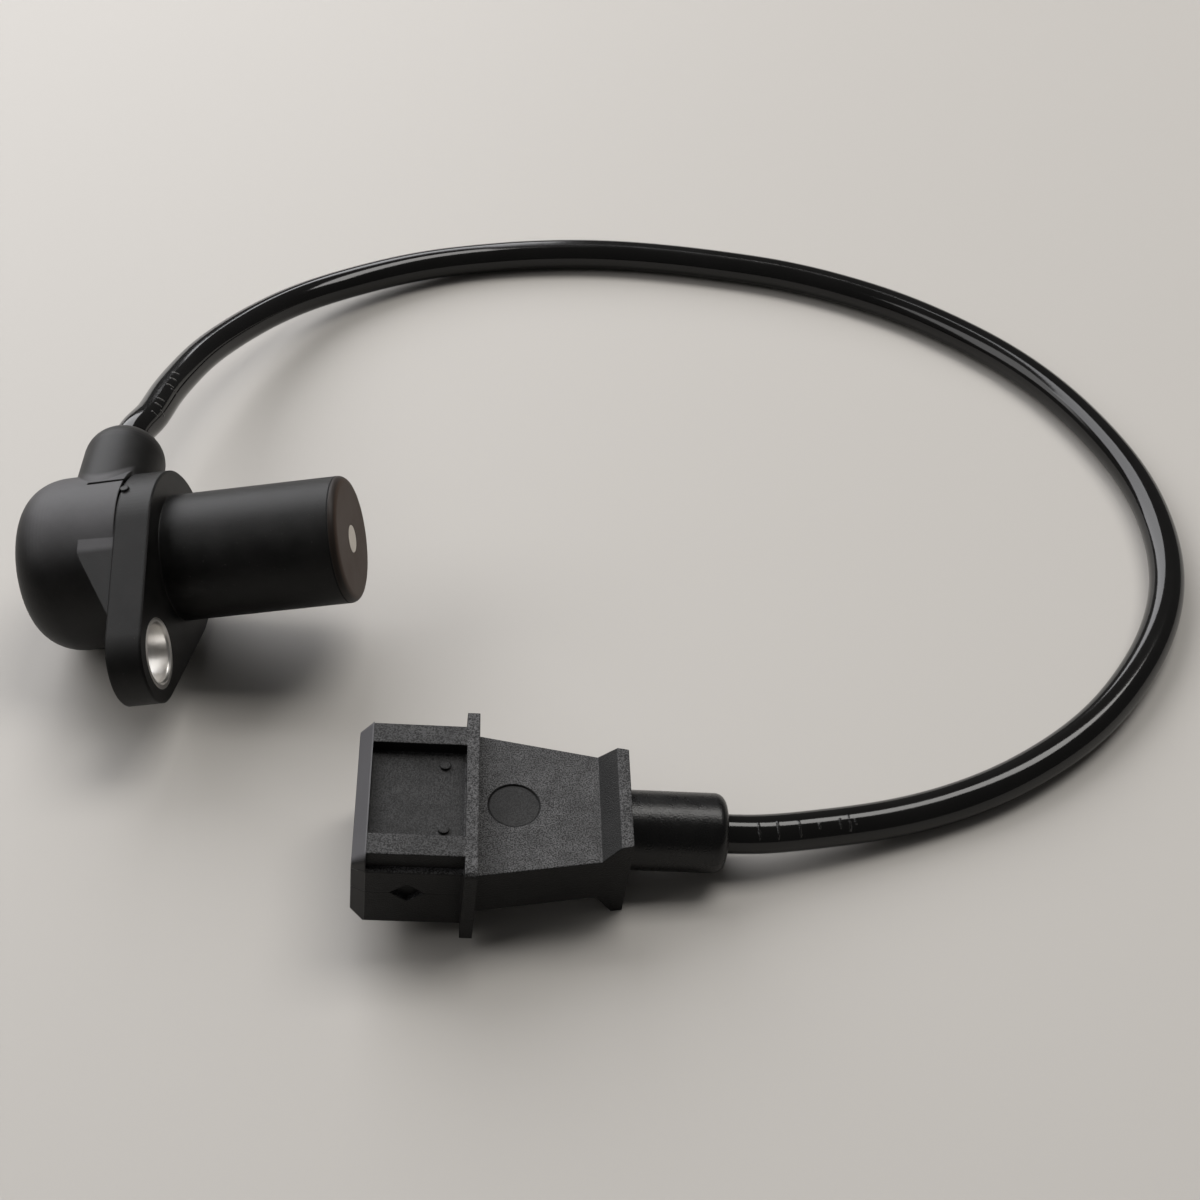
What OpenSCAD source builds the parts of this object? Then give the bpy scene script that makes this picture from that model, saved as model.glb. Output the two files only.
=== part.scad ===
// Crankshaft position sensor: an inductive head with a one-eared flange, a lead and a three-way plug.
// It lies on a table: the head on the rear rim of its cap, the lead in one loop, the plug on its rear rim.
// X runs along the barrel's heading and Z is up. The origin is the middle of the barrel's root.

/* [Barrel] */
// Outside radius of the barrel, which fills a bore in the engine block
barrel_r = 9; // [8.6:0.1:10]
// Length of the barrel from the flange's seat to its tip
barrel_l = 25; // [24:0.5:32]
// Rounding round the barrel's tip
tip_round = 1.1; // [0.5:0.1:1.3]
// Wall of the barrel round the coil
barrel_wall = 1.4; // [1:0.1:1.6]
// Floor of the barrel at its tip
tip_wall = 1.4; // [1:0.1:2]

/* [Flange] */
// Thickness of the flange
flange_t = 4.95; // [4.6:0.05:6]
// Radius of the flange round the barrel
flange_r = 12.5; // [12.4:0.1:13]
// Distance from the barrel's axis to the bolt hole
ear_reach = 18.3; // [18.2:0.1:21]
// Radius of the ear's end round the bolt hole
ear_r = 6.8; // [6.2:0.1:8]
// Relief along the flange's edges
flange_relief = 0.15; // [0.1:0.05:0.3]
// Thickness of the two webs behind the ear
web_t = 1.6; // [1:0.1:2]
// How far the webs run back from the seat
web_back = 10.3; // [8:0.1:12]
// Length of a web's square foot along the cap
web_foot = 4.2; // [3.6:0.1:6]
// Distance that a web runs out along the ear
web_run = 14.4; // [11:0.1:15]

/* [Bush] */
// Outside radius of the bush in the ear
bush_r = 4.9; // [4.6:0.1:5.2]
// Radius of the bolt hole through the bush
bush_bore_r = 4; // [3:0.1:4.2]
// Bevel at the mouths of the bush
bush_bevel = 0.3; // [0.1:0.05:0.4]

/* [Rear cap] */
// How far the cap lies off the barrel's axis, towards the boot
cap_shift = 1; // [0.6:0.1:1.2]
// Radius of the cap where it meets the flange
cap_front_r = 12.5; // [12.4:0.1:13]
// Radius of the cap at its rear, less by the mould's draft
cap_rear_r = 12.4; // [12:0.1:12.5]
// Length of the head behind the flange's seat
cap_l = 21.1; // [20.1:0.1:23]
// Rounding of the cap's rear rim, across the cap
cap_round = 4.5; // [3:0.1:5]
// Rounding of that rim, along the cap
cap_round_l = 6; // [5:0.2:7]
// Radius of the chamber that holds the joints of the leads
chamber_r = 9.5; // [9:0.1:10]
// Wall between the chamber and the cap's rear face
cap_floor = 5; // [4:0.1:5.6]
// Width of the shut-off line at the foot of the boot
seam_w = 0.35; // [0.2:0.05:0.6]
// Length of that line along the cap
seam_l = 5.5; // [3:0.1:6.5]

/* [Cable boot] */
// Radius of the boot where the cable leaves the cap
boot_r = 5.8; // [5.5:0.1:6.2]
// Distance from the barrel's axis to the boot's domed end
boot_reach = 19.8; // [19:0.1:24]
// Rounding of the domed end
boot_round = 5.1; // [3:0.1:5.2]
// Distance of the boot's axis behind the flange's seat
boot_back = 9.1; // [8.8:0.05:9.8]
// Height of the boot's axis above the barrel's axis
boot_rise = 6.2; // [5.9:0.1:6.4]
// Length of cable that the boot grips
grip_l = 8; // [6:0.5:9]

/* [Coil] */
// Radius of the pole pin
pole_r = 1.95; // [1.6:0.05:2.2]
// Length of the pole pin
pole_l = 15; // [13:0.5:16]
// Radius of the magnet behind the pole pin
magnet_r = 4; // [3.4:0.1:4.2]
// Length of the magnet
magnet_l = 7; // [5:0.5:8]
// Wall of the bobbin's hub round the pole pin
hub_wall = 1; // [0.6:0.1:1.4]
// Thickness of the bobbin's cheeks
cheek_t = 1; // [0.6:0.1:1.4]
// How far the winding stays below the cheeks
winding_inset = 0.5; // [0.2:0.1:1]
// Side of the square terminal posts
post_w = 0.8; // [0.6:0.1:0.9]
// Distance between the two posts
post_pitch = 6.4; // [6:0.1:7]
// Height of the posts above the barrel's axis
post_rise = 5.4; // [5:0.1:5.6]
// Depth of the posts in the bobbin
post_in = 4; // [2:0.5:4.5]

/* [Cable] */
// Outside radius of the cable
cable_r = 2.57; // [2.4:0.01:2.7]
// Radius of one insulated core
core_r = 0.7; // [0.5:0.05:0.74]
// Length of the tube that splices a core to a post
splice_l = 4; // [3:0.5:5]
// Wall of the splice tube
splice_wall = 0.4; // [0.3:0.05:0.6]
// Radius of the sleeve on the cable behind the plug
sleeve_r = 5.18; // [4.6:0.02:6]
// Length of that sleeve
sleeve_l = 12.95; // [10:0.05:18]
// Rounding of the sleeve's end
sleeve_round = 1.5; // [0.5:0.1:2]

/* [Plug] */
// Width of the shroud round the contacts
shroud_w = 22.2; // [21.9:0.1:23]
// Height of the shroud without its ribs
shroud_h = 11.5; // [11.3:0.1:12]
// Length of the shroud from the collar to its mouth
shroud_l = 13.8; // [13:0.1:17]
// Wall at the sides of the shroud
side_wall = 1.3; // [1.2:0.05:1.5]
// Wall over the well, below the deck
top_wall = 1.2; // [1:0.05:1.4]
// Wall under the well
bottom_wall = 2.2; // [2:0.1:2.4]
// Corner radius of the shroud
shroud_round = 0.4; // [0.3:0.05:0.6]
// Height of the deck between and under the ribs
deck_h = 0.7; // [0.4:0.05:0.9]
// Length of the lead-in bevel round the mouth
mouth_bevel_l = 1.8; // [1:0.1:2.4]
// Depth of that bevel at the sides
side_bevel = 0.8; // [0.4:0.05:0.95]
// Depth of that bevel at the top
top_bevel = 0.4; // [0.2:0.05:0.6]
// Depth of that bevel at the bottom
bottom_bevel = 1.7; // [0.8:0.1:1.8]
// Height of the two keying ribs on the deck
rib_h = 1.8; // [1.4:0.1:2]
// Width of one rib
rib_w = 3.05; // [2:0.05:3.2]
// Clear distance between the ribs
rib_gap = 14.4; // [13:0.1:14.6]
// Length of the latch pocket in each side of the shroud
pocket_l = 4.4; // [3:0.1:5]
// Height of the latch pocket
pocket_h = 3.6; // [2:0.1:4]
// Depth of the latch pocket
pocket_d = 0.9; // [0.4:0.05:1]
// How far the pocket lies above the middle of the shroud
pocket_rise = 0.75; // [0:0.05:1]
// Thickness of the collar behind the shroud
collar_t = 1.6; // [1.2:0.1:2.4]
// Width of the collar
collar_w = 26.1; // [25:0.1:28]
// Height of the collar
collar_h = 14; // [13.8:0.1:16]
// Length of the body from its rear face to the collar
body_l = 19.3; // [18.6:0.1:22]
// Width of the body at the collar
body_front_w = 22.1; // [21:0.1:24]
// Width of the body at its rear face
body_rear_w = 15.4; // [15:0.1:18]
// Height of the body
body_h = 7.5; // [7.2:0.1:9]
// How far the body's middle lies above the cable
body_rise = 0.45; // [0.2:0.05:0.6]
// Height of the rim at the body's rear
rim_h = 13.7; // [12:0.1:15]
// Thickness of that rim
rim_t = 1.45; // [1:0.05:2]
// Length of the slope from the rim down to the body
rim_slope = 2.3; // [1.5:0.1:3]
// Distance from the collar to the round moulding mark on the body
mark_gap = 1.3; // [0.8:0.1:3]
// Radius of that mark
mark_r = 3.3; // [2:0.1:4]
// Depth of that mark
mark_d = 0.15; // [0.1:0.05:0.4]

/* [Contacts] */
// Distance from one contact to the next
contact_pitch = 5; // [4.6:0.1:5.4]
// Width of a contact blade
blade_w = 2.8; // [2.3:0.1:3]
// Thickness of a contact blade
blade_t = 0.8; // [0.5:0.1:1]
// Length of blade that stands in the shroud
blade_l = 7; // [6:0.1:7.6]
// Length of the crimp behind a blade
crimp_l = 5; // [4:0.1:5.5]
// Outside radius of a crimp
crimp_r = 1.3; // [1.15:0.05:1.5]

/* [Hidden] */
$fn = 64;

// Finish of each material
moulded_black = [0.09, 0.09, 0.09];
grained_black = [0.13, 0.13, 0.14];
bobbin_white = [0.85, 0.83, 0.76];
copper = [0.72, 0.42, 0.24];
steel = [0.72, 0.72, 0.72];
tinned = [0.8, 0.79, 0.75];
core_brown = [0.4, 0.24, 0.14];
core_green = [0.2, 0.42, 0.24];

// Clearance between a piece and the moulding round it, and overlap of cuts past a face
fit_gap = 0.05;
cut = 0.5;

// How the head lies: its barrel points up a little, its cap's rim is on the table
head_pitch = 9;
rim_middle = [-cap_l + cap_round_l, cap_rear_r - cap_round];
rim_drop = norm([cap_round_l * sin(head_pitch), cap_round * cos(head_pitch)]);
table_z = rim_middle.x * sin(head_pitch) - rim_middle.y * cos(head_pitch) - rim_drop;

// How the plug lies: on the foot of its rear rim, mouth a little up
plug_pitch = 6.3;
plug_yaw = 2.3;
plug_at = [63, -41.6, table_z + rim_h / 2 * cos(plug_pitch)];

// Places along the head
bobbin_r = barrel_r - barrel_wall - fit_gap;
bobbin_front = barrel_l - tip_wall;
magnet_front = barrel_l - pole_l;
magnet_rear = magnet_front - magnet_l;
hub_r = pole_r + fit_gap + hub_wall;
chamber_front = -1.4;
ear_angle = asin((flange_r - ear_r) / ear_reach);
// The webs lie inside the flange's sides and sink into the cap
web_out = cap_rear_r - 0.6;
// Fine groove between the cap and the flange
parting_w = 0.2;
parting_d = 1.4;
core_pitch = 2 * core_r + 0.4;
core_bend = 3 * core_r;
splice_r = core_r + splice_wall;

// Places along the plug, from its rear face towards the mouth
collar_x = body_l;
shroud_x = body_l + collar_t;
mouth_x = shroud_x + shroud_l;
well_floor = 1.6;
well_x = shroud_x + well_floor;
deck_z = collar_h / 2 - rib_h;
shroud_top = deck_z - deck_h;
shroud_low = deck_z - shroud_h;
shroud_mid = deck_z - shroud_h / 2;
well_w = shroud_w - 2 * side_wall;
well_h = shroud_top - top_wall - shroud_low - bottom_wall;
well_mid = shroud_low + bottom_wall + well_h / 2;
wire_room_x = 4;
wire_room_l = body_l - wire_room_x - 0.3;
wire_room_w = 2 * contact_pitch + blade_w + 0.4;
wire_room_h = 4.8;
crimp_x = 11;

// Route of the cable over the table: x, y and the height of its middle
route = [[-8.9, 26.4, 17.9], [-8.2, 33.6, 16], [-7.1, 41.8, 13.8], [-5.2, 49.8, 11.8], [-2.6, 56.9, 9.9],
         [0.5, 63.3, 8.2], [4, 69, 6.7], [8.4, 74.4, 5.3], [17.2, 81.2, 3.9], [27, 86.2, 3.1],
         [37.9, 89.3, 2.6], [49, 90.6, 2.57], [60, 90.6, 2.57], [70.6, 89.4, 2.57], [80.9, 87.4, 2.57],
         [91.6, 84.6, 2.57], [101.9, 80.4, 2.57], [111.3, 75.2, 2.57], [120.1, 68.6, 2.57],
         [128.1, 60.9, 2.57], [134.8, 51.9, 2.57], [140.2, 41.5, 2.57], [144, 30.4, 2.57],
         [145.4, 19.2, 2.57], [144.4, 8, 2.57], [140.8, -2.4, 2.57], [135.2, -11.8, 2.57],
         [128.3, -20, 2.57], [120.7, -26.3, 2.57], [112.5, -31.3, 2.57], [104.5, -34.7, 2.6],
         [96.3, -37.3, 3.1], [88.3, -39.3, 4]];
cable_sides = 12;
core_sides = 10;

// Points of an arc about c, from angle a to angle b
function arc(c, r, a, b, n = 10) =
  [for (i = [0:n]) let (t = a + (b - a) * i / n) c + r * [cos(t), sin(t)]];

// A point of the head and a point of the plug, carried to where they lie
function on_head(p) = [p.x * cos(head_pitch) - p.z * sin(head_pitch), p.y,
                       p.x * sin(head_pitch) + p.z * cos(head_pitch)];
function pitched(p) = [p.x * cos(plug_pitch) - p.z * sin(plug_pitch), p.y,
                       p.x * sin(plug_pitch) + p.z * cos(plug_pitch)];
function turned(p) = [-p.x * cos(plug_yaw) + p.y * sin(plug_yaw),
                      -p.x * sin(plug_yaw) - p.y * cos(plug_yaw), p.z];
function on_plug(p) = plug_at + turned(pitched(p));

function unit(v) = v / norm(v);

// Direction of a path at its point i
function heading(path, i) = unit(path[min(i + 1, len(path) - 1)] - path[max(i - 1, 0)]);

// Ring of n points about point i of a path, square to it
function ring(path, i, r, n) =
  let (t = heading(path, i), side = unit(cross(t, [0, 0, 1])), up = cross(side, t))
  [for (k = [0:n - 1]) path[i] + r * (cos(360 * k / n) * side + sin(360 * k / n) * up)];

// Round bar of radius r along a path that is nowhere upright
module bar(path, r, n) {
  last = len(path) - 1;
  points = [for (i = [0:last]) each ring(path, i, r, n)];
  walls = [for (i = [0:last - 1], k = [0:n - 1])
    let (a = i * n + k, b = i * n + (k + 1) % n)
    each [[a, b, b + n], [a, b + n, a + n]]];
  start = [for (k = [n - 1:-1:0]) k];
  end = [for (k = [0:n - 1]) last * n + k];
  polyhedron(points, concat([start], walls, [end]), convexity = 6);
}

module lay_head() { rotate([0, -head_pitch, 0]) children(); }

module lay_plug() { translate(plug_at) rotate([0, -plug_pitch, 180 + plug_yaw]) children(); }

// Turns a form about Z into one about X
module along_x() { rotate([0, 90, 0]) children(); }

// Carries a section in the Y-Z plane along X
module section(l) { rotate([90, 0, 90]) linear_extrude(l) children(); }

module round_rect(w, h, r) {
  square([w, h - 2 * r], center = true);
  square([w - 2 * r, h], center = true);
  for (x = [-1, 1], y = [-1, 1]) translate([x * (w / 2 - r), y * (h / 2 - r)]) circle(r);
}

// Outline of the flange, e inside its full size: two rounds joined by their tangents
module flange_outline(e) {
  polygon(concat(arc([0, 0], flange_r - e, -90 - ear_angle, 90 + ear_angle, 72),
                 arc([-ear_reach, 0], ear_r - e, 90 + ear_angle, 270 - ear_angle, 48)));
}

// Frame with Y along one straight side of the flange, at the height of that side
module ear_side(s) { mirror([0, 0, s < 0 ? 1 : 0]) rotate([ear_angle, 0, 0]) children(); }

// Flange with its seat at x = 0 and a small relief along its edges
module flange() {
  translate([-flange_t, 0, 0]) section(flange_t) flange_outline(flange_relief);
  translate([-flange_t + flange_relief, 0, 0]) section(flange_t - 2 * flange_relief) flange_outline(0);
}

// Webs that carry the ear on the cap, along both straight sides of the flange
module ear_webs() {
  for (s = [-1, 1])
    ear_side(s) translate([0, 0, web_out - web_t]) linear_extrude(web_t)
      polygon([[-flange_t / 2, 0], [-web_back, 0], [-web_back, -web_foot],
               [-flange_t, -web_run], [-flange_t / 2, -web_run]]);
}

module barrel() {
  along_x() rotate_extrude() polygon(concat(
    [[0, -flange_t / 2], [barrel_r, -flange_t / 2]],
    arc([barrel_r - tip_round, barrel_l - tip_round], tip_round, 0, 90, 6),
    [[0, barrel_l]]));
}

// Cap with an oval rounding at its rear, and a neck that carries it on the flange
module cap() {
  front = -flange_t - parting_w;
  neck_r = cap_front_r - parting_d;
  translate([0, cap_shift, 0]) along_x() rotate_extrude() polygon(concat(
    [[0, -cap_l]],
    [for (q = arc([0, 0], 1, -90, 0, 16)) [rim_middle.y + cap_round * q.x, rim_middle.x + cap_round_l * q.y]],
    [[cap_front_r, front], [neck_r, front], [neck_r, -flange_t / 2], [0, -flange_t / 2]]));
}

// Domed boot that leads the cable out of the cap, along Y
module boot() {
  translate([-boot_back, 0, boot_rise]) rotate([-90, 0, 0]) rotate_extrude() polygon(concat(
    [[0, 0], [boot_r, 0]],
    arc([boot_r - boot_round, boot_reach - boot_round], boot_round, 0, 90, 12),
    [[0, boot_reach]]));
}

// Shut-off line of the mould at the foot of the boot, at this angle round the cap
seam_angle = 75.3;
seam_d = 0.5;
module seam_cut() {
  translate([-flange_t - seam_l, cap_shift, 0]) rotate([seam_angle, 0, 0])
    translate([0, cap_rear_r - seam_d, -seam_w / 2])
      cube([seam_l, cap_front_r - cap_rear_r + seam_d + cut, seam_w]);
}

// Straight edge that stands behind that line and falls away under the boot
foot_step = 0.1;
foot_l = 3.2;
foot_fall = 2.1;
foot_depth = 6;
module boot_foot() {
  y = cap_shift + cap_rear_r * cos(seam_angle) + 0.7 * seam_w;
  z = cap_rear_r * sin(seam_angle) + foot_step;
  translate([-flange_t - seam_l, 0, 0]) section(seam_l - parting_w)
    polygon([[y, z], [y + foot_l, z - foot_fall], [y + foot_l, z - foot_depth], [y, z - foot_depth]]);
}

// Small gate mark on the flange's edge
gate_angle = 82;
gate_r = 0.6;
gate_h = 0.3;
module gate_mark() {
  rotate([gate_angle, 0, 0]) translate([-flange_t + gate_r, flange_r - 1, 0]) rotate([-90, 0, 0])
    cylinder(r = gate_r, h = 1 + gate_h, $fn = 24);
}

module head_hollows() {
  chamber_rear = -cap_l + cap_floor;
  along_x() {
    translate([0, 0, chamber_front - cut])
      cylinder(r = barrel_r - barrel_wall, h = bobbin_front - chamber_front + cut);
    translate([0, 0, chamber_rear]) cylinder(r = chamber_r, h = chamber_front - chamber_rear);
    cylinder(r = pole_r + fit_gap, h = barrel_l + cut);
  }
  translate([-boot_back, chamber_r / 2, boot_rise]) rotate([-90, 0, 0])
    cylinder(r = cable_r, h = boot_reach - chamber_r / 2 + cut);
  translate([cut, -ear_reach, 0]) rotate([0, -90, 0]) cylinder(r = bush_r, h = flange_t + 2 * cut);
}

module sensor_housing() {
  color(moulded_black) lay_head() difference() {
    union() {
      barrel();
      cap();
      flange();
      ear_webs();
      boot();
      boot_foot();
      gate_mark();
    }
    head_hollows();
    seam_cut();
  }
}

module flange_bush() {
  color(steel) lay_head() translate([0, -ear_reach, 0]) along_x() rotate_extrude() polygon([
    [bush_bore_r + bush_bevel, -flange_t], [bush_r, -flange_t], [bush_r, 0], [bush_bore_r + bush_bevel, 0],
    [bush_bore_r, -bush_bevel], [bush_bore_r, -flange_t + bush_bevel]]);
}

module pole_pin() {
  color(steel) lay_head() along_x() translate([0, 0, magnet_front]) cylinder(r = pole_r, h = pole_l);
}

module magnet() {
  color(steel) lay_head() along_x() translate([0, 0, magnet_rear]) cylinder(r = magnet_r, h = magnet_l);
}

// Spool for the winding with a thick rear block, which holds the magnet and the posts
module coil_bobbin() {
  color(bobbin_white) lay_head() difference() {
    along_x() rotate_extrude() polygon([
      [pole_r + fit_gap, bobbin_front], [bobbin_r, bobbin_front], [bobbin_r, bobbin_front - cheek_t],
      [hub_r, bobbin_front - cheek_t], [hub_r, magnet_front + cheek_t], [bobbin_r, magnet_front + cheek_t],
      [bobbin_r, magnet_rear], [magnet_r + fit_gap, magnet_rear], [magnet_r + fit_gap, magnet_front],
      [pole_r + fit_gap, magnet_front]]);
    for (i = [0, 1])
      translate(post_at(i)) cube([2 * post_in, post_w + fit_gap, post_w + fit_gap], center = true);
  }
}

module coil_winding() {
  l = bobbin_front - magnet_front - 2 * cheek_t;
  color(copper) lay_head() along_x() translate([0, 0, magnet_front + cheek_t]) difference() {
    cylinder(r = bobbin_r - winding_inset, h = l);
    translate([0, 0, -cut]) cylinder(r = hub_r, h = l + 2 * cut);
  }
}

// Middle of post i at the bobbin's rear face, and where its core turns into its splice tube
function post_at(i) = [magnet_rear, (i == 0 ? 1 : -1) * post_pitch / 2, post_rise];
function core_x(i) = -boot_back + (i == 0 ? 1 : -1) * core_pitch / 2;
function splice_x(i) = core_x(i) + core_bend;

module lead_terminal(i) {
  p = post_at(i);
  rear = splice_x(i) + splice_l / 2;
  color(tinned) lay_head() translate([rear, p.y - post_w / 2, p.z - post_w / 2])
    cube([p.x + post_in - rear, post_w, post_w]);
}

module splice_tube(i) {
  p = post_at(i);
  color(tinned) lay_head() translate([splice_x(i), p.y, p.z]) along_x() difference() {
    cylinder(r = splice_r, h = splice_l);
    translate([0, 0, -cut]) cylinder(r = core_r + fit_gap, h = splice_l + 2 * cut);
  }
}

// Core from the cable's end in the boot, round a bend and half way into its splice tube
function head_core_path(i) =
  let (p = post_at(i), c = [splice_x(i), p.y + core_bend])
  concat([for (y = [0, -0.6]) [core_x(i), boot_reach - grip_l + y, boot_rise]],
         [for (q = arc(c, core_bend, 180, 270, 6)) [q.x, q.y, p.z]],
         [[splice_x(i) + splice_l / 2 - fit_gap, p.y, p.z]]);

module head_core(i) {
  color(i == 0 ? core_brown : core_green) bar([for (p = head_core_path(i)) on_head(p)], core_r, core_sides);
}

boot_end = [-boot_back, boot_reach, boot_rise];
// Straight lengths of the cable at the mouth of the boot and of the sleeve
boot_stub = 0.4;
sleeve_stub = 3;
module cable() {
  path = concat(
    [for (y = [-grip_l, -1, boot_stub]) on_head(boot_end + [0, y, 0])],
    [for (p = route) [p.x, p.y, table_z + p.z]],
    [for (x = [-sleeve_l - sleeve_stub, -sleeve_l + sleeve_stub, wire_room_x]) on_plug([x, 0, 0])]);
  color(moulded_black) bar(path, cable_r, cable_sides);
}

module strain_relief_sleeve() {
  color(moulded_black) lay_plug() along_x() rotate_extrude() polygon(concat(
    [[cable_r, 0], [cable_r, -sleeve_l]],
    arc([sleeve_r - sleeve_round, -sleeve_l + sleeve_round], sleeve_round, -90, 0, 8),
    [[sleeve_r, 0]]));
}

// Tapered body with its rear rim: the form that its side view and its plan have in common
module plug_body() {
  waist = rim_t + rim_slope;
  low = body_rise - body_h / 2;
  top = body_rise + body_h / 2;
  intersection() {
    rotate([90, 0, 0]) linear_extrude(body_front_w, center = true) polygon([
      [0, -rim_h / 2], [rim_t, -rim_h / 2], [waist, low], [body_l, low],
      [body_l, top], [waist, top], [rim_t, rim_h / 2], [0, rim_h / 2]]);
    linear_extrude(rim_h, center = true) polygon([
      [0, -body_rear_w / 2], [body_l, -body_front_w / 2], [body_l, body_front_w / 2], [0, body_rear_w / 2]]);
  }
}

module collar() {
  translate([collar_x, 0, 0]) section(collar_t) round_rect(collar_w, collar_h, 2 * shroud_round);
}

// Shroud with its lead-in bevel: what its end view, plan and side view have in common
module shroud() {
  bevel_x = mouth_x - mouth_bevel_l;
  w = shroud_w / 2;
  h = shroud_h - deck_h;
  intersection() {
    translate([shroud_x, 0, shroud_low + h / 2]) section(shroud_l) round_rect(shroud_w, h, shroud_round);
    translate([0, 0, shroud_mid]) linear_extrude(2 * shroud_h, center = true) polygon([
      [shroud_x, -w], [bevel_x, -w], [mouth_x, side_bevel - w],
      [mouth_x, w - side_bevel], [bevel_x, w], [shroud_x, w]]);
    rotate([90, 0, 0]) linear_extrude(2 * shroud_w, center = true) polygon([
      [shroud_x, shroud_low], [bevel_x, shroud_low], [mouth_x, shroud_low + bottom_bevel],
      [mouth_x, shroud_top - top_bevel], [bevel_x, shroud_top], [shroud_x, shroud_top]]);
  }
}

// Bar along the top of the shroud, w wide and up to height z, sloped down to height end at the mouth
module top_bar(w, z, end) {
  low = shroud_top - top_wall / 2;
  front = mouth_x - 0.1;
  rotate([90, 0, 0]) linear_extrude(w, center = true) polygon([
    [shroud_x, low], [front, low], [front, end], [mouth_x - mouth_bevel_l, z], [shroud_x, z]]);
}

// Deck on the shroud, two keying ribs along its sides and two small stops between them
module deck_and_ribs() {
  edge_z = shroud_top - top_bevel;
  top_bar(rib_gap + 2 * rib_w - 0.2, deck_z, edge_z - 0.1);
  for (s = [-1, 1]) {
    translate([0, s * (rib_gap + rib_w) / 2, 0]) top_bar(rib_w, deck_z + rib_h, edge_z + 0.25);
    translate([well_x + 1.1, s * 0.35 * rib_gap, deck_z - deck_h / 2])
      cylinder(r = 0.7, h = deck_h / 2 + 0.35, $fn = 24);
  }
}

// Space inside the plug: the well round the blades, the room for the wires and their ways in
module plug_hollows() {
  translate([well_x, 0, well_mid]) section(shroud_l) round_rect(well_w, well_h, shroud_round);
  translate([wire_room_x, -wire_room_w / 2, -wire_room_h / 2]) cube([wire_room_l, wire_room_w, wire_room_h]);
  for (i = [-1:1]) translate([wire_room_x + wire_room_l - cut, i * contact_pitch, well_mid])
    section(well_x - wire_room_x - wire_room_l + 2 * cut)
      square([blade_w + fit_gap, blade_t + fit_gap], center = true);
  along_x() translate([0, 0, -cut]) cylinder(r = cable_r, h = wire_room_x + 2 * cut);
}

// Latch pocket in both sides of the shroud, pointed at either end
module latch_pockets() {
  x = (well_x + mouth_x - mouth_bevel_l) / 2;
  for (s = [-1, 1]) translate([x, s * shroud_w / 2, shroud_mid + pocket_rise]) rotate([90, 0, 0])
    linear_extrude(2 * pocket_d, center = true)
      polygon([[-pocket_l / 2, 0], [0, -pocket_h / 2], [pocket_l / 2, 0], [0, pocket_h / 2]]);
}

module connector_housing() {
  color(grained_black) lay_plug() difference() {
    union() {
      plug_body();
      collar();
      shroud();
      deck_and_ribs();
    }
    plug_hollows();
    latch_pockets();
    translate([body_l - mark_gap - mark_r, 0, body_rise + body_h / 2 - mark_d])
      cylinder(r = mark_r, h = mark_d + cut);
  }
}

// Blade in the well with a bevelled tip, and behind it the crimp that holds its core
module contact_blade(i) {
  tip = well_x + blade_l;
  bevel = blade_w / 4;
  color(tinned) lay_plug() translate([0, i * contact_pitch, well_mid]) {
    translate([0, 0, -blade_t / 2]) linear_extrude(blade_t) polygon([
      [crimp_x + crimp_l / 2, -blade_w / 2], [tip - bevel, -blade_w / 2], [tip, bevel - blade_w / 2],
      [tip, blade_w / 2 - bevel], [tip - bevel, blade_w / 2], [crimp_x + crimp_l / 2, blade_w / 2]]);
    along_x() difference() {
      translate([0, 0, crimp_x]) cylinder(r = crimp_r, h = crimp_l);
      translate([0, 0, crimp_x - cut]) cylinder(r = core_r + fit_gap, h = crimp_l / 2 - blade_t / 2 + cut);
    }
  }
}

// Core i from the cable's end, spread to its contact in one smooth step
function ease(u) = u * u * (3 - 2 * u);
function plug_core_path(i) =
  let (a = [wire_room_x + 0.6, i * (2 * core_r + 0.05), 0],
       b = [crimp_x - 0.6, i * contact_pitch, well_mid])
  concat([[wire_room_x, a.y, a.z]],
         [for (k = [0:8]) let (u = k / 8, v = ease(u))
           [a.x + (b.x - a.x) * u, a.y + (b.y - a.y) * v, a.z + (b.z - a.z) * v]],
         [[crimp_x + crimp_l / 2 - blade_t / 2 - fit_gap, b.y, b.z]]);

module plug_core(i, tone) {
  color(tone) bar([for (p = plug_core_path(i)) on_plug(p)], core_r, core_sides);
}

sensor_housing();
flange_bush();
pole_pin();
magnet();
coil_bobbin();
coil_winding();
lead_terminal(0);  // lead_terminal_1
lead_terminal(1);  // lead_terminal_2
splice_tube(0);  // splice_tube_1
splice_tube(1);  // splice_tube_2
head_core(0);  // head_core_1
head_core(1);  // head_core_2
cable();
strain_relief_sleeve();
connector_housing();
contact_blade(-1);  // contact_blade_1
contact_blade(0);  // contact_blade_2
contact_blade(1);  // contact_blade_3
plug_core(-1, core_brown);  // plug_core_1
plug_core(0, core_green);  // plug_core_2
plug_core(1, tinned);  // screen_drain
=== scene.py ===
import math

import bpy
import numpy as np
from mathutils import Matrix, Vector


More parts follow.
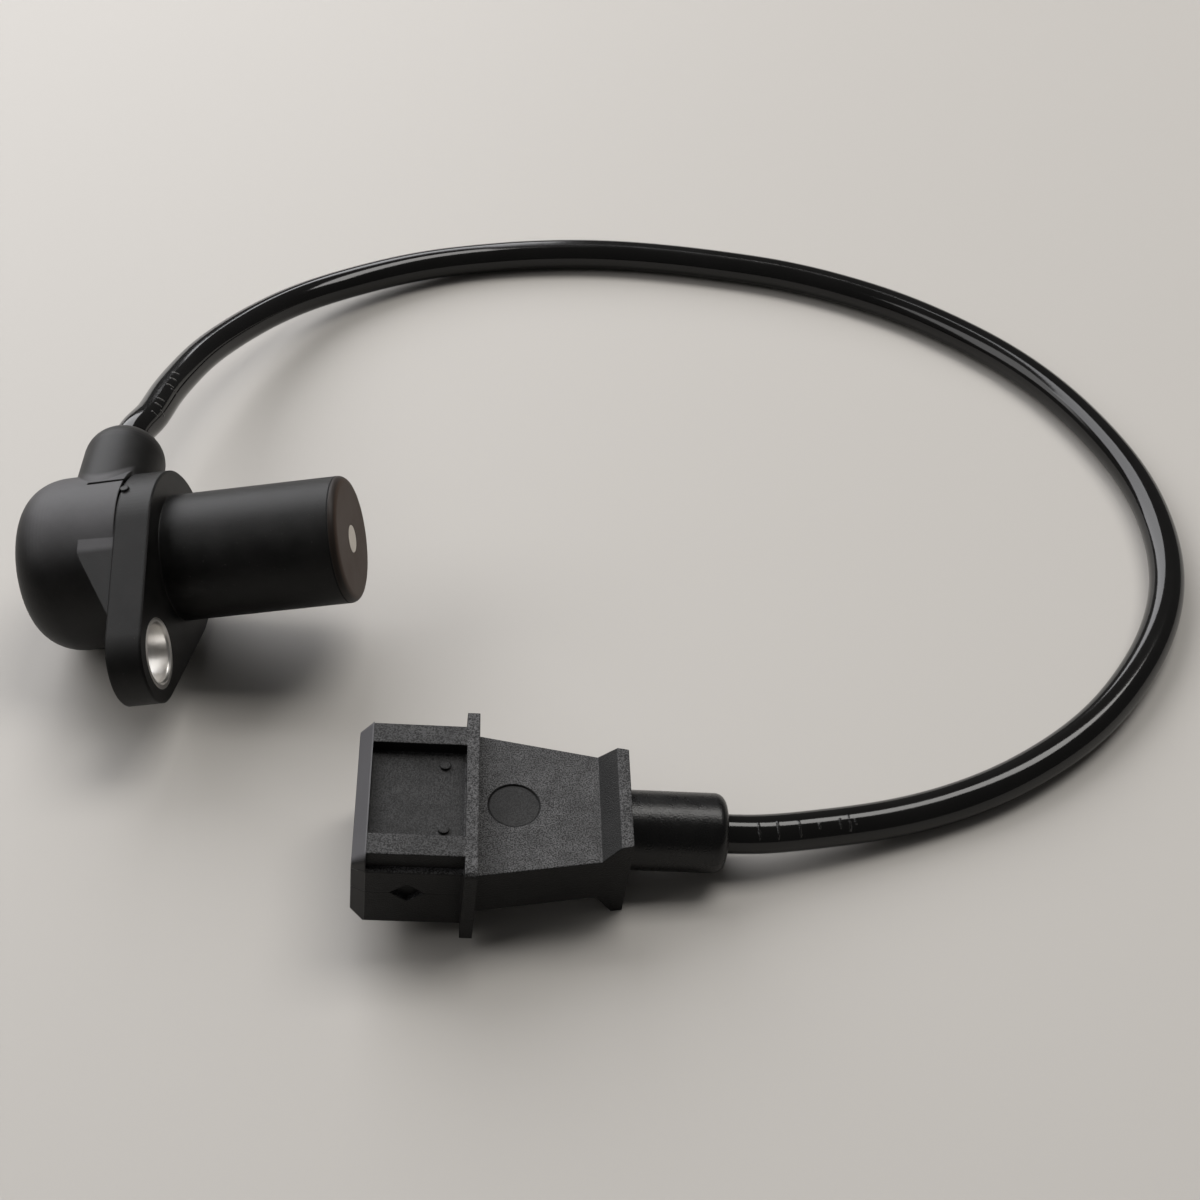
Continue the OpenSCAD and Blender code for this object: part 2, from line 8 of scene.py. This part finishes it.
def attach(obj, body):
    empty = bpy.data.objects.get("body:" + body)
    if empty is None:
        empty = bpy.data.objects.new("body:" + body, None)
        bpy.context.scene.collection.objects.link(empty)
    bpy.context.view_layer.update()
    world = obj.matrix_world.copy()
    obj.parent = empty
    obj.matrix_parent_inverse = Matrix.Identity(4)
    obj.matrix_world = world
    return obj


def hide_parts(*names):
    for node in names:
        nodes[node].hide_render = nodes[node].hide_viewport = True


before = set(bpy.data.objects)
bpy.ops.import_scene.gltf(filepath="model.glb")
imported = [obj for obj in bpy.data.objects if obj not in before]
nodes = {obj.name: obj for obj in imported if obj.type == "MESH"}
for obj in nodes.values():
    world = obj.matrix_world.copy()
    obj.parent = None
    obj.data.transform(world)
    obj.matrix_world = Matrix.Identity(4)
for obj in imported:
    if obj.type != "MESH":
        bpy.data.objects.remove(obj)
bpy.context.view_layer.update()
scene = bpy.context.scene
print("frame loaded")

mm = 0.001

# Where things lie, as in the construction: millimetres, Z up, origin at the barrel's root.
# The table is under the lowest point of the cap's rounded edge, and the plug's rear rim stands on it.
lie = {
    "headPitch": math.radians(9.0), "plugPitch": math.radians(6.3), "plugYaw": math.radians(2.3),
    "capX": -15.1, "capR": 7.9, "capAlong": 6.0, "capAcross": 4.5,
    "plugX": 63.0, "plugY": -41.6, "plugRim": 13.7,
}
sinHead, cosHead = math.sin(lie["headPitch"]), math.cos(lie["headPitch"])
tableZ = (lie["capX"] * sinHead - lie["capR"] * cosHead
          - math.hypot(lie["capAlong"] * sinHead, lie["capAcross"] * cosHead))
plugAt = (lie["plugX"], lie["plugY"], tableZ + lie["plugRim"] / 2 * math.cos(lie["plugPitch"]))

headTurn = Matrix.Rotation(-lie["headPitch"], 4, "Y")
plugTurn = (Matrix.Translation(plugAt) @ Matrix.Rotation(math.pi + lie["plugYaw"], 4, "Z")
            @ Matrix.Rotation(-lie["plugPitch"], 4, "Y"))


def onHead(x, y, z):
    return np.array(headTurn @ Vector((x, y, z)))


def onPlug(x, y, z):
    return np.array(plugTurn @ Vector((x, y, z)))


class Wire:
    # One output of a material's nodes; arithmetic on it adds Math nodes
    def __init__(self, look, socket):
        self.look = look
        self.socket = socket

    def math(self, operation, *values):
        return self.look.add("ShaderNodeMath", {"operation": operation}, dict(enumerate(values)))

    def __add__(self, other):
        return self.math("ADD", self, other)

    def __radd__(self, other):
        return self.math("ADD", other, self)

    def __sub__(self, other):
        return self.math("SUBTRACT", self, other)

    def __rsub__(self, other):
        return self.math("SUBTRACT", other, self)

    def __mul__(self, other):
        return self.math("MULTIPLY", self, other)

    def __pow__(self, other):
        return self.math("POWER", self, other)

    def __abs__(self):
        return self.math("ABSOLUTE", self)

    def larger(self, other):
        return self.math("MAXIMUM", self, other)

    def rise(self, low, high):  # 0 below low, 1 above high, smooth between
        return self.look.add("ShaderNodeMapRange", {"interpolation_type": "SMOOTHSTEP"},
                             {"Value": self, "From Min": low, "From Max": high})

    def fall(self, low, high):  # 1 below low, 0 above high
        return 1 - self.rise(low, high)


class Look:
    # A material with one Principled BSDF
    def __init__(self, name, **values):
        self.material = bpy.data.materials.new(name)
        self.material.use_nodes = True
        self.tree = self.material.node_tree
        self.bsdf = self.tree.nodes["Principled BSDF"]
        for socket, value in values.items():
            self.put(socket.replace("_", " "), value)

    def add(self, kind, settings, sockets, out=0):
        node = self.tree.nodes.new(kind)
        for key, value in settings.items():
            setattr(node, key, value)
        for key, value in sockets.items():
            self.join(node.inputs[key], value)
        return Wire(self, node.outputs[out])

    def join(self, socket, value):
        if isinstance(value, Wire):
            self.tree.links.new(value.socket, socket)
        else:
            socket.default_value = value

    def put(self, socket, value):
        self.join(self.bsdf.inputs[socket], value)

    def place(self, turn=None):  # object coordinates in mm, in the frame of the head or the plug where asked
        xyz = self.add("ShaderNodeTexCoord", {}, {}, "Object")
        if turn is None:
            return self.add("ShaderNodeVectorMath", {"operation": "SCALE"}, {0: xyz, "Scale": 1 / mm})
        back = turn.inverted()
        return self.add("ShaderNodeMapping", {}, {
            "Vector": xyz, "Location": back.to_translation(), "Rotation": back.to_euler(),
            "Scale": (1 / mm, 1 / mm, 1 / mm)})

    def noise(self, at, scale, detail=3.0, rough=0.55, stretch=None):
        if stretch is not None:
            at = self.add("ShaderNodeVectorMath", {"operation": "MULTIPLY"}, {0: at, 1: stretch})
        return self.add("ShaderNodeTexNoise", {}, {
            "Vector": at, "Scale": scale, "Detail": detail, "Roughness": rough})

    def mix(self, factor, a, b):  # colours
        return self.add("ShaderNodeMix", {"data_type": "RGBA"}, {0: factor, 6: a, 7: b}, 2)

    def facing(self):  # how far the surface faces up, 1 for level
        return self.split(self.add("ShaderNodeTexCoord", {}, {}, "Normal"))[2]

    def split(self, vector):
        node = self.tree.nodes.new("ShaderNodeSeparateXYZ")
        self.join(node.inputs[0], vector)
        return [Wire(self, s) for s in node.outputs]

    def relief(self, height, depth, edge=None):  # bump of that depth in mm, over edges of that radius
        sockets = {"Height": height, "Distance": depth * mm, "Strength": 1.0}
        if edge:
            sockets["Normal"] = self.add("ShaderNodeBevel", {"samples": 6}, {"Radius": edge * mm})
        self.put("Normal", self.add("ShaderNodeBump", {}, sockets))


def rgb(r, g, b):
    return (r, g, b, 1.0)


def dress(look, *names):
    for name in names:
        materials = nodes[name].data.materials
        materials.clear()
        materials.append(look.material)


# Head moulding: satin black, with the cap's upward-facing side painted paler as a painted sheen, and the tip
# tinted brown as a painted reflection, with a fine line behind it.
# Pairs are where a mask starts to change and where it is done, in mm in the head's own frame.
headSet = {
    "dark": rgb(0.003, 0.0028, 0.0026), "light": rgb(0.007, 0.0066, 0.0063), "speck": rgb(0.09, 0.085, 0.08),
    # The pale grey on this line is a painted sheen for the cap's top, and the brown a painted reflection at
    # the tip.
    "capSheen": rgb(0.09, 0.088, 0.092), "tip": rgb(0.055, 0.034, 0.024), "line": rgb(0.001, 0.001, 0.001),
    "capShift": 1.0, "capFront": (-5.4, -4.8), "capSide": (9.0, 12.0), "capR": (12.8, 13.2),
    "tipEdge": (23.9, 24.0), "tipFace": (24.6, 24.95), "lineX": 23.85, "lineHalf": (0.04, 0.14),
}
head = Look("head_moulding", IOR=1.32)
at = head.place(headTurn)
x, y, z = head.split(at)
radius = ((y - headSet["capShift"]) ** 2.0 + z * z) ** 0.5
cap = x.fall(*headSet["capFront"]) * y.fall(*headSet["capSide"]) * radius.fall(*headSet["capR"])
# Painted reflection: the tip's rounding and face are tinted brown for a brown surface seen in them, and made
# a little rougher.
tip = x.rise(*headSet["tipEdge"]) * 0.25 + x.rise(*headSet["tipFace"]) * 0.75
tipLine = abs(x - headSet["lineX"]).fall(*headSet["lineHalf"])
cloud = head.noise(at, 0.22, 4.0)
grain = head.noise(at, 7.0, 2.0)
specks = head.noise(at, 2.2, 2.0).rise(0.70, 0.74)
# Painted sheen: the cap's upward-facing side is mixed towards pale grey and made a little rougher, standing
# for the light it catches.
capSheen = cap * head.facing().rise(0.4, 1.1) ** 2.0 * (0.6 + cloud * 0.6)
base = head.mix(cloud.rise(0.35, 0.7), headSet["dark"], headSet["light"])
base = head.mix(specks * 0.2, base, headSet["speck"])
base = head.mix(capSheen, base, headSet["capSheen"])
base = head.mix(tip, base, headSet["tip"])
base = head.mix(tipLine * 0.8, base, headSet["line"])
head.put("Base Color", base)
head.put("Roughness", 0.39 + cloud * 0.14 + capSheen * 0.1 + specks * 0.15 + tip * 0.1 + tipLine * 0.3)
head.relief(grain * 0.7 + cloud * 1.4 - tipLine * 2.0, 0.02, 0.35)
dress(head, "sensor_housing")

# Plug moulding: spark-grained, the grain painted with pale glints as painted highlight, most on what faces up
# and less on the shroud, smooth on the bevel at the mouth and nearly so on the round mark and the rear slope.
# Places are in mm in the plug's own frame.
plugSet = {
    "dark": rgb(0.004, 0.0039, 0.0038), "light": rgb(0.009, 0.0088, 0.0086),
    # The spark colour on the next line is for painted glints of the grain.
    "sparkGlint": rgb(0.13, 0.129, 0.131), "line": rgb(0.002, 0.002, 0.002),
    # The two bevel colours on this line are a painted reflection and a painted highlight.
    "bevelSide": rgb(0.035, 0.0345, 0.035), "bevelTop": rgb(0.085, 0.0835, 0.088),
    "markX": 14.7, "markR": 3.3, "markIn": 0.1, "markOut": 0.05, "markZ": (3.5, 3.9),
    "ringHalf": (0.05, 0.16), "bevelX": 32.9, "bevelHalf": 0.1, "shroudX": (20.9, 21.1), "deckY": (7.1, 7.25),
    "slopeStart": (1.5, 1.6), "slopeEnd": (3.65, 3.75),
    "partingZ": 0.2, "partingHalf": (0.02, 0.09), "partingX": (21.0, 21.2), "partingY": (9.9, 10.2),
}
plug = Look("plug_moulding", IOR=1.32)
at = plug.place(plugTurn)
x, y, z = plug.split(at)
fromMark = ((x - plugSet["markX"]) ** 2.0 + y * y) ** 0.5
bodyTop = z.rise(*plugSet["markZ"])
mark = fromMark.fall(plugSet["markR"] - plugSet["markIn"], plugSet["markR"] + plugSet["markOut"]) * bodyTop
ring = abs(fromMark - plugSet["markR"]).fall(*plugSet["ringHalf"]) * bodyTop
bevel = x.rise(plugSet["bevelX"] - plugSet["bevelHalf"], plugSet["bevelX"] + plugSet["bevelHalf"])
smooth = (mark * 0.8).larger(bevel)
parting = (abs(z - plugSet["partingZ"]).fall(*plugSet["partingHalf"]) * x.rise(*plugSet["partingX"])
           * abs(y).rise(*plugSet["partingY"]))
shroud = x.rise(*plugSet["shroudX"])
deck = shroud * abs(y).fall(*plugSet["deckY"])
slope = x.rise(*plugSet["slopeStart"]) * x.fall(*plugSet["slopeEnd"])
facesUp = plug.facing().rise(0.3, 0.8)
cloud = plug.noise(at, 0.3, 5.0)
patches = plug.noise(at, 1.1, 3.0)
grain = plug.noise(at, 5.5, 1.0, 0.5)
glintPatchiness = plug.noise(at, 0.35, 3.0).rise(0.3, 0.7) * 0.5 + 0.75
# Painted highlight: the grain's glints, varied at random, strongest on what faces up and weaker on the shroud
# and on the deck between the ribs.
sparkGlint = (grain * 0.85 + patches * 0.15).rise(0.36, 0.64) * (1 - smooth) * (1 - slope * 0.9) * glintPatchiness
glintByFacing = 0.03 + facesUp * (0.68 - shroud * 0.28 - deck * 0.24)
base = plug.mix(cloud.rise(0.35, 0.68), plugSet["dark"], plugSet["light"])
base = plug.mix(sparkGlint * glintByFacing, base, plugSet["sparkGlint"])
# Painted reflection: the bevel at the mouth is mixed a little paler all over, and paler again where it faces
# up, as painted highlight.
base = plug.mix(bevel * 0.3, base, plugSet["bevelSide"])
base = plug.mix(bevel * facesUp, base, plugSet["bevelTop"])
base = plug.mix(ring.larger(parting) * 0.8, base, plugSet["line"])
plug.put("Base Color", base)
plug.put("Roughness", 0.48 + cloud * 0.14 + mark * 0.04 - bevel * 0.2)
plug.relief((grain + patches * 0.4) * (1 - smooth) - parting - ring, 0.09, 0.3)
dress(plug, "connector_housing")

sleeveSet = {"dark": rgb(0.003, 0.003, 0.003), "light": rgb(0.007, 0.0068, 0.0066)}
sleeve = Look("sleeve_rubber", IOR=1.4)
at = sleeve.place(plugTurn)
cloud = sleeve.noise(at, 0.5, 4.0)
grain = sleeve.noise(at, 5.0, 1.0, 0.5)
sleeve.put("Base Color", sleeve.mix(cloud, sleeveSet["dark"], sleeveSet["light"]))
sleeve.put("Roughness", 0.2 + cloud * 0.16)
sleeve.relief(grain + cloud * 0.5, 0.035, 0.3)
dress(sleeve, "strain_relief_sleeve")

copperSet = {"dark": rgb(0.30, 0.11, 0.045), "light": rgb(0.62, 0.28, 0.12), "wire": 0.22}
copper = Look("coil_copper", Metallic=1.0)
wave = copper.split(copper.place(headTurn))[0] * (2 * math.pi / copperSet["wire"])
# Painted highlight and shade: each wire turn is painted lighter along its crest and darker where it meets the
# next; the same wave bumps and roughens the turns.
turnsAndShade = wave.math("SINE", wave) * 0.5 + 0.5
copper.put("Base Color", copper.mix(turnsAndShade, copperSet["dark"], copperSet["light"]))
copper.put("Roughness", 0.28 + turnsAndShade * 0.1)
copper.relief(turnsAndShade, 0.08)
dress(copper, "coil_winding")

# Plainer pieces: one noise goes between two tones, and into the roughness and the relief
clouded = {
    "bush_steel": {
        "on": ("flange_bush",), "turn": headTurn, "scale": 1.0, "detail": 2.0, "stretch": (7.0, 0.12, 0.12),
        "metallic": 1.0, "dark": (0.68, 0.66, 0.63), "light": (0.80, 0.78, 0.75),
        "rough": 0.27, "roughMore": 0.08, "depth": 0.004, "edge": 0.2},
    "pole_iron": {
        "on": ("pole_pin", "magnet"), "turn": headTurn, "scale": 1.4, "detail": 4.0,
        "metallic": 1.0, "dark": (0.50, 0.46, 0.41), "light": (0.74, 0.70, 0.64),
        "rough": 0.36, "roughMore": 0.2, "depth": 0.02},
    "tinned_strip": {
        "on": ("contact_blade_1", "contact_blade_2", "contact_blade_3", "screen_drain", "lead_terminal_1",
               "lead_terminal_2", "splice_tube_1", "splice_tube_2"),
        "turn": plugTurn, "scale": 1.1, "detail": 4.0, "stretch": (0.3, 1.0, 1.0),
        "metallic": 1.0, "dark": (0.62, 0.60, 0.55), "light": (0.78, 0.77, 0.73),
        "rough": 0.22, "roughMore": 0.16, "depth": 0.01},
    "bobbin_moulding": {
        "on": ("coil_bobbin",), "turn": headTurn, "scale": 0.6, "detail": 3.0,
        "metallic": 0.0, "dark": (0.62, 0.58, 0.48), "light": (0.74, 0.71, 0.62),
        "rough": 0.42, "roughMore": 0.12, "depth": 0.02},
    "core_brown": {
        "on": ("head_core_1", "plug_core_1"), "turn": None, "scale": 1.5, "detail": 3.0,
        "metallic": 0.0, "dark": (0.17, 0.075, 0.035), "light": (0.2125, 0.09375, 0.04375),
        "rough": 0.3, "roughMore": 0.15, "depth": 0.02},
    "core_green": {
        "on": ("head_core_2", "plug_core_2"), "turn": None, "scale": 1.5, "detail": 3.0,
        "metallic": 0.0, "dark": (0.04, 0.17, 0.07), "light": (0.05, 0.2125, 0.0875),
        "rough": 0.3, "roughMore": 0.15, "depth": 0.02},
}
for name, c in clouded.items():
    look = Look(name, Metallic=c["metallic"])
    cloud = look.noise(look.place(c["turn"]), c["scale"], c["detail"], stretch=c.get("stretch"))
    look.put("Base Color", look.mix(cloud, rgb(*c["dark"]), rgb(*c["light"])))
    look.put("Roughness", c["rough"] + cloud * c["roughMore"])
    look.relief(cloud, c["depth"], c.get("edge"))
    dress(look, *c["on"])
print("materials on the nodes")


def addMesh(name, points, faces, material):
    # an object from points in mm
    mesh = bpy.data.meshes.new(name)
    mesh.from_pydata((np.array(points) * mm).tolist(), [], faces)
    mesh.materials.append(material)
    piece = bpy.data.objects.new(name, mesh)
    scene.collection.objects.link(piece)
    return piece


# Rim along the top of the plug's mouth, level with the ribs and laid over their bevels
rim = {"back": {"x": 32.9, "half": 11.07, "top": 7.03, "corner": 1.15},
       "front": {"x": 34.65, "half": 10.35, "top": 5.2, "corner": 0.6}, "low": 3.9, "steps": 7}


def rimEnd(end):
    # one end of the rim: up one side, round a corner, across the top and down again
    bends = np.linspace(0, np.pi / 2, rim["steps"])
    inner, level = end["half"] - end["corner"], end["top"] - end["corner"]
    half = [(end["half"], rim["low"])]
    half += [(inner + end["corner"] * math.cos(b), level + end["corner"] * math.sin(b)) for b in bends]
    outline = half + [(-across, height) for across, height in reversed(half)]
    return [onPlug(end["x"], across, height) for across, height in outline]


backEnd, frontEnd = rimEnd(rim["back"]), rimEnd(rim["front"])
count = len(backEnd)
rimFaces = [(i, (i + 1) % count, count + (i + 1) % count, count + i) for i in range(count)]
rimFaces += [tuple(reversed(range(count))), tuple(range(count, 2 * count))]
mouthRim = addMesh("mouth_rim", backEnd + frontEnd, rimFaces, plug.material)
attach(mouthRim, "root")
print("rim on the plug's mouth")

# Cable: a round tube along the construction's route, x, y and height of its middle over the table
cord = {"r": 2.57, "sides": 32, "step": 0.8, "fineSteps": 6000, "inside": 1.5,
        "bootEnd": (-9.1, 19.8, 6.2), "bootLead": 0.4, "sleeveEnd": -12.95, "sleeveLead": 3.0}
low = cord["r"]
route = [(-8.9, 26.4, 17.9), (-8.2, 33.6, 16), (-7.1, 41.8, 13.8), (-5.2, 49.8, 11.8), (-2.6, 56.9, 9.9),
         (0.5, 63.3, 8.2), (4, 69, 6.7), (8.4, 74.4, 5.3), (17.2, 81.2, 3.9), (27, 86.2, 3.1),
         (37.9, 89.3, 2.6), (49, 90.6, low), (60, 90.6, low), (70.6, 89.4, low), (80.9, 87.4, low),
         (91.6, 84.6, low), (101.9, 80.4, low), (111.3, 75.2, low), (120.1, 68.6, low),
         (128.1, 60.9, low), (134.8, 51.9, low), (140.2, 41.5, low), (144, 30.4, low),
         (145.4, 19.2, low), (144.4, 8, low), (140.8, -2.4, low), (135.2, -11.8, low),
         (128.3, -20, low), (120.7, -26.3, low), (112.5, -31.3, low), (104.5, -34.7, 2.6),
         (96.3, -37.3, 3.1), (88.3, -39.3, 4)]
bootX, bootY, bootZ = cord["bootEnd"]
sleeveEnd = cord["sleeveEnd"]
knots = np.array([onHead(bootX, bootY + d, bootZ) for d in (-cord["inside"], cord["bootLead"])]
                 + [np.array((px, py, tableZ + height)) for px, py, height in route]
                 + [onPlug(d, 0, 0) for d in (sleeveEnd - cord["sleeveLead"], sleeveEnd + cord["inside"])])


def runLength(points):
    # length along a line of points, up to each of them
    return np.concatenate([[0], np.cumsum(np.linalg.norm(np.diff(points, axis=0), axis=1))])


def spline(points, step, fineSteps):
    # a natural cubic through the points, over the chords' lengths, sampled evenly along its own length
    t = runLength(points)
    count = len(t)
    h = np.diff(t)
    matrix = np.zeros((count, count))
    right = np.zeros((count, 3))
    matrix[0, 0] = matrix[-1, -1] = 1
    for i in range(1, count - 1):
        matrix[i, i - 1:i + 2] = h[i - 1], 2 * (h[i - 1] + h[i]), h[i]
        right[i] = 6 * ((points[i + 1] - points[i]) / h[i] - (points[i] - points[i - 1]) / h[i - 1])
    second = np.linalg.solve(matrix, right)
    fineT = np.linspace(0, t[-1], fineSteps)
    k = np.clip(np.searchsorted(t, fineT) - 1, 0, count - 2)
    a, b, hk = (t[k + 1] - fineT)[:, None], (fineT - t[k])[:, None], h[k][:, None]
    fine = ((second[k] * a ** 3 + second[k + 1] * b ** 3) / (6 * hk)
            + (points[k] / hk - second[k] * hk / 6) * a
            + (points[k + 1] / hk - second[k + 1] * hk / 6) * b)
    run = runLength(fine)
    even = np.linspace(0, run[-1], int(run[-1] / step))
    return np.stack([np.interp(even, run, fine[:, axis]) for axis in range(3)], axis=1), float(run[-1])


def unit(vectors):
    return vectors / np.linalg.norm(vectors, axis=1)[:, None]


line, curveLength = spline(knots, cord["step"], cord["fineSteps"])
line[:, 2] = np.maximum(line[:, 2], tableZ + cord["r"])
tangent = unit(np.gradient(line, axis=0))
side = unit(np.cross(tangent, (0, 0, 1)))
up = np.cross(side, tangent)
angle = np.linspace(0, 2 * np.pi, cord["sides"], endpoint=False)
tube = (line[:, None] + cord["r"] * (np.cos(angle)[None, :, None] * side[:, None]
                                     + np.sin(angle)[None, :, None] * up[:, None]))


def addTube(name, grid, material):
    # rings of points joined into a smooth tube, with UV along and round it
    rows, columns = grid.shape[:2]
    i, j = np.meshgrid(np.arange(rows - 1), np.arange(columns), indexing="ij")
    k = (j + 1) % columns
    near, far = i * columns, (i + 1) * columns
    quads = np.stack([near + j, near + k, far + k, far + j], axis=-1).reshape(-1, 4)
    piece = addMesh(name, grid.reshape(-1, 3), quads.tolist(), material)
    uv = piece.data.uv_layers.new(name="UVMap")
    u = np.stack([i, i, i + 1, i + 1], axis=-1) / (rows - 1)
    v = np.stack([j, j + 1, j + 1, j], axis=-1) / columns
    uv.data.foreach_set("uv", np.stack([u, v], axis=-1).ravel().astype(np.float32))
    piece.data.polygons.foreach_set("use_smooth", np.ones(len(quads), dtype=bool))
    return piece


# Sheath, with creases where the cable bends. Near the boot each has its distance from the boot in mm and
# its place round the cable, near the sleeve its distance from the sleeve and its half length round the cable.
sheathSet = {
    "dark": rgb(0.004, 0.0038, 0.0036), "light": rgb(0.008, 0.0077, 0.0074), "creaseHalf": (0.02, 0.2),
    "bootArc": 0.04, "sleevePlace": 0.326,
    "bootCreases": [(6.9, 0.13), (8.6, 0.08), (9.4, 0.16), (11.1, 0.17), (15.4, 0.11), (16.0, 0.17),
                    (18.2, 0.18), (20.2, 0.2)],
    "sleeveCreases": [(5.6, 0.08), (8.1, 0.085), (11.0, 0.08), (13.6, 0.03), (16.5, 0.05), (17.8, 0.08),
                      (18.6, 0.03)],
}
creases = [(d, place, sheathSet["bootArc"]) for d, place in sheathSet["bootCreases"]]
creases += [(curveLength - d, sheathSet["sleevePlace"], arc) for d, arc in sheathSet["sleeveCreases"]]
sheath = Look("cable_sheath", IOR=1.44)
at = sheath.place()
cloud = sheath.noise(at, 0.16, 4.0)
fine = sheath.noise(at, 1.6, 3.0)
along, around = sheath.split(sheath.add("ShaderNodeTexCoord", {}, {}, "UV"))[:2]
along = along * curveLength + (fine - 0.5) * 0.5
fold = 0
for distance, place, arc in creases:
    crease = abs(along - distance).fall(*sheathSet["creaseHalf"]) * abs(around - place).fall(0.6 * arc, arc)
    fold = crease + fold
sheath.put("Base Color", sheath.mix(cloud, sheathSet["dark"], sheathSet["light"]))
sheath.put("Roughness", 0.07 + cloud * 0.07)
sheath.relief(fine * 0.1 + cloud * 0.6 - fold * 4.0, 0.03)
cable = addTube("cable_sheath", tube, sheath.material)
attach(cable, "root")
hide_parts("cable")

# Floor
floorSet = {"reach": 3000.0, "tone": rgb(0.46, 0.44, 0.412), "rough": 0.62}
pale = Look("pale_floor", Base_Color=floorSet["tone"], Roughness=floorSet["rough"])
corners = [(sx * floorSet["reach"], sy * floorSet["reach"], tableZ)
           for sx, sy in ((-1, -1), (1, -1), (1, 1), (-1, 1))]
floor = addMesh("floor", corners, [(0, 1, 2, 3)], pale.material)


def stand(thing, at, right, upright, back):
    # puts a lamp or the camera in its place, with its own X, Y and Z along those three
    thing.matrix_world = Matrix.Translation(at) @ Matrix((right, upright, back)).transposed().to_4x4()
    scene.collection.objects.link(thing)


# Light, in metres: a panel high on the right, a window behind and to the left, a weaker lamp at the left,
# all turned to the part, and a dim room
studio = {
    "panel": {"at": (0.41, 0.38, 0.98), "size": (0.7, 0.43), "power": 6.4, "tint": (1.0, 0.98, 0.95)},
    "window": {"at": (-0.48, 0.84, 0.69), "size": (1.1, 1.1), "power": 16.5, "tint": (0.98, 0.98, 1.0)},
    "side": {"at": (-0.95, -0.05, 0.85), "size": (0.8, 0.8), "power": 5.0, "tint": (1.0, 0.99, 0.98)},
}
room = {"tone": rgb(0.88, 0.87, 0.86), "strength": 0.09}
aim = Vector((0.06, 0.02, -0.01))
for name, lamp in studio.items():
    light = bpy.data.lights.new(name, "AREA")
    light.shape = "RECTANGLE"
    light.size, light.size_y = lamp["size"]
    light.energy = lamp["power"]
    light.color = lamp["tint"]
    away = (Vector(lamp["at"]) - aim).normalized()  # a lamp shines along its own -Z, with its X level
    level = (Vector((1, 0, 0)) - away * away.x).normalized()
    stand(bpy.data.objects.new(name, light), lamp["at"], level, away.cross(level), away)
world = bpy.data.worlds.new("room")
world.use_nodes = True
world.node_tree.nodes["Background"].inputs[0].default_value = room["tone"]
world.node_tree.nodes["Background"].inputs[1].default_value = room["strength"]
scene.world = world

# Camera, from the fit to the photograph's outlines
shot = {"at": (60.5, -182.19, 181.39), "forward": (-0.0038, 0.6926, -0.7213), "up": (-0.0039, 0.7213, 0.6926),
        "focalPixels": 1808.15, "pixels": 1200, "sensor": 36.0, "clipStart": 0.01}
lens = bpy.data.cameras.new("camera")
lens.sensor_width = shot["sensor"]
lens.lens = shot["focalPixels"] / shot["pixels"] * shot["sensor"]
lens.clip_start = shot["clipStart"]
forward = Vector(shot["forward"]).normalized()
right = forward.cross(Vector(shot["up"])).normalized()
camera = bpy.data.objects.new("camera", lens)
stand(camera, Vector(shot["at"]) * mm, right, right.cross(forward), -forward)
scene.camera = camera
scene.view_settings.view_transform = "Standard"
print("camera and lights set")
